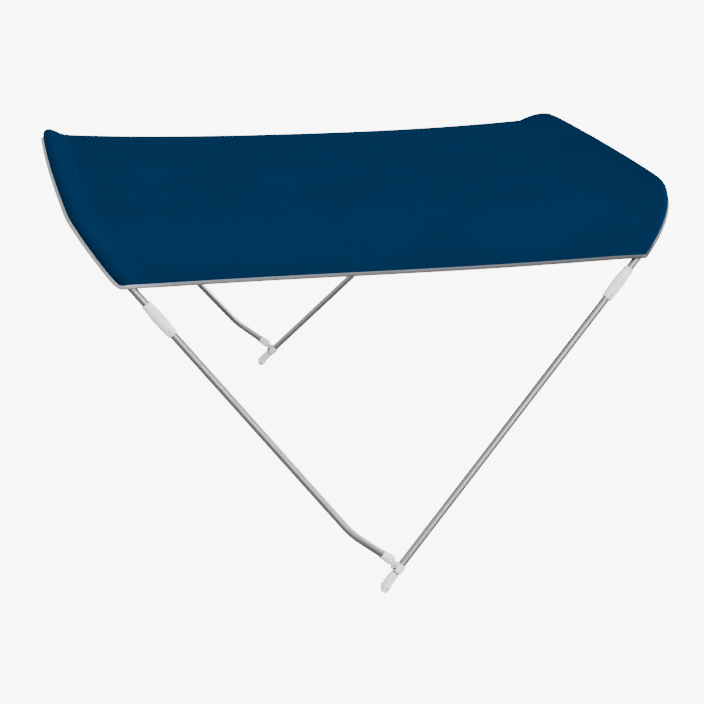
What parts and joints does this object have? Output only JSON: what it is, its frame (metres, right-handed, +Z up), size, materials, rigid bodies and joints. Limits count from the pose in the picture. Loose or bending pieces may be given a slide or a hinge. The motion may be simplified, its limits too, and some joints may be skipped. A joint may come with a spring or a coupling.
{
  "type": "bimini top with folding frame",
  "caption": "Bimini sun top: navy cloth canopy with bound edges stretched over a folding tube frame of bent bows on hinged legs.",
  "frame": {"origin": "midway between the two hinge pins that the main bow's eye ends hang on", "axes": "+Z up; +Y runs across the boat from one foot of the frame to the other; +X runs along the boat towards the end that the main bow leans to"},
  "size_m": [1.8338, 1.9792, 1.0861],
  "materials": {
    "canopy_cloth": "navy acrylic canvas, plain weave, matt, water-shedding",
    "edge_binding": "grey woven edge tape folded over the cloth's edge and sewn",
    "frame_tube": "anodised aluminium tube, satin",
    "white_fitting": "moulded white nylon, slightly glossy",
    "steel_screw": "stainless steel screw"
  },
  "bodies": {
    "root": {"canopy_cloth": "canopy_cloth", "binding_main_bow": "edge_binding", "binding_second_bow": "edge_binding", "binding_hem_right": "edge_binding", "binding_hem_left": "edge_binding", "main_bow_tube": "frame_tube", "second_bow_tube": "frame_tube", "main_leg_right": "frame_tube", "main_leg_left": "frame_tube", "second_leg_right": "frame_tube", "second_leg_left": "frame_tube", "main_sleeve_right": "white_fitting", "main_sleeve_left": "white_fitting", "second_sleeve_right": "white_fitting", "second_sleeve_left": "white_fitting", "main_eye_right": "white_fitting", "main_eye_left": "white_fitting", "second_eye_right": "white_fitting", "second_eye_left": "white_fitting", "jaw_slide_right": "white_fitting", "jaw_slide_left": "white_fitting", "jaw_hinge_screw_right": "steel_screw", "jaw_hinge_screw_left": "steel_screw", "jaw_clamp_bolt_right": "steel_screw", "jaw_clamp_bolt_left": "steel_screw", "main_sleeve_screw_right": "steel_screw", "main_sleeve_screw_left": "steel_screw", "second_sleeve_screw_right": "steel_screw", "second_sleeve_screw_left": "steel_screw"}
  },
  "joints": []
}
